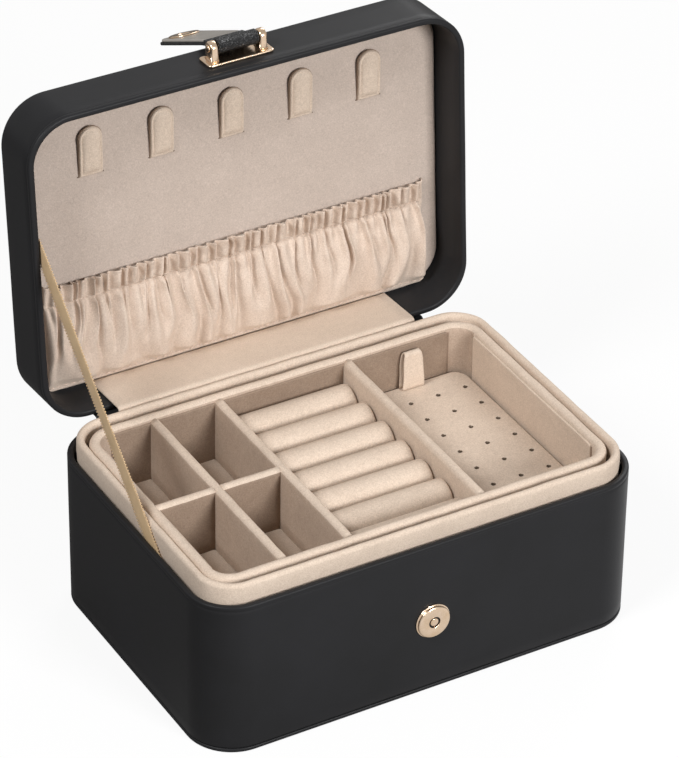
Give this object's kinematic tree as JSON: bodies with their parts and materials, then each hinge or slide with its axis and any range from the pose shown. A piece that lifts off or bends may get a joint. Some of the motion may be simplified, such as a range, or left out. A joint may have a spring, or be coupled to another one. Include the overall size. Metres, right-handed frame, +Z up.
{
  "type": "tiered jewelry box",
  "caption": "Two-tier jewelry box: leather base lined with velvet, hinged lid with snap strap, necklace tabs and gathered pocket, and a lift-out tray with ring rolls and an earring pad.",
  "frame": {"origin": "centre of the base's underside, on the surface it stands on", "axes": "+Z up, +Y from the snap at the front to the hinge at the back, +X to the right seen from the front"},
  "size_m": [0.16, 0.1732, 0.1764],
  "materials": {
    "leather": "satin",
    "velvet": "matte",
    "satin": "satin",
    "elastic": "matte",
    "gold": "polished",
    "strap_lining": "satin"
  },
  "bodies": {
    "base": {"base_shell": "leather", "base_bottom_board": "leather", "base_liner": "velvet", "base_floor_pad": "velvet", "tray_ledge_left": "velvet", "tray_ledge_right": "velvet", "snap_disc": "gold", "snap_stud": "gold", "hinge_spine": "leather", "hinge_lining": "velvet", "ribbon_stay": "satin"},
    "lid": {"lid_shell": "leather", "lid_panel": "velvet", "necklace_tab_1": "velvet", "necklace_tab_2": "velvet", "necklace_tab_3": "velvet", "necklace_tab_4": "velvet", "necklace_tab_5": "velvet", "lid_pocket": "velvet", "pocket_elastic": "elastic", "strap_bracket": "gold", "strap_pin": "gold"},
    "strap": {"strap_leather": "leather", "strap_lining": "strap_lining", "strap_snap": "gold", "strap_cap": "gold"},
    "tray": {"tray_walls": "velvet", "tray_bottom_board": "velvet", "tray_floor_lining": "velvet", "long_divider_1": "velvet", "long_divider_2": "velvet", "long_divider_3": "velvet", "cross_divider_left": "velvet", "cross_divider_right": "velvet", "ring_roll_1": "velvet", "ring_roll_2": "velvet", "ring_roll_3": "velvet", "ring_roll_4": "velvet", "ring_roll_5": "velvet", "ring_roll_6": "velvet", "ring_roll_7": "velvet", "pad_rail_front": "velvet", "pad_rail_back": "velvet"},
    "pad": {"earring_pad": "velvet", "pull_tab": "velvet"}
  },
  "joints": [
    {"name": "lid_hinge", "type": "hinge", "parent": "base", "child": "lid", "pos_m": [0, 0.0574, 0.05715], "axis": [-1, 0, 0], "range_deg": [-94, 0], "deforming": ["hinge_spine", "hinge_lining", "ribbon_stay"]},
    {"name": "strap_swing", "type": "hinge", "parent": "lid", "child": "strap", "pos_m": [0, 0.07498, 0.17391], "axis": [-1, 0, 0], "range_deg": [-202.5, 0]},
    {"name": "tray_lift", "type": "slide", "parent": "base", "child": "tray", "axis": [0, 0, 1], "range_m": [0, 0.086]},
    {"name": "earring_pad_lift", "type": "slide", "parent": "tray", "child": "pad", "axis": [0, 0, 1], "range_m": [0, 0.06]}
  ]
}
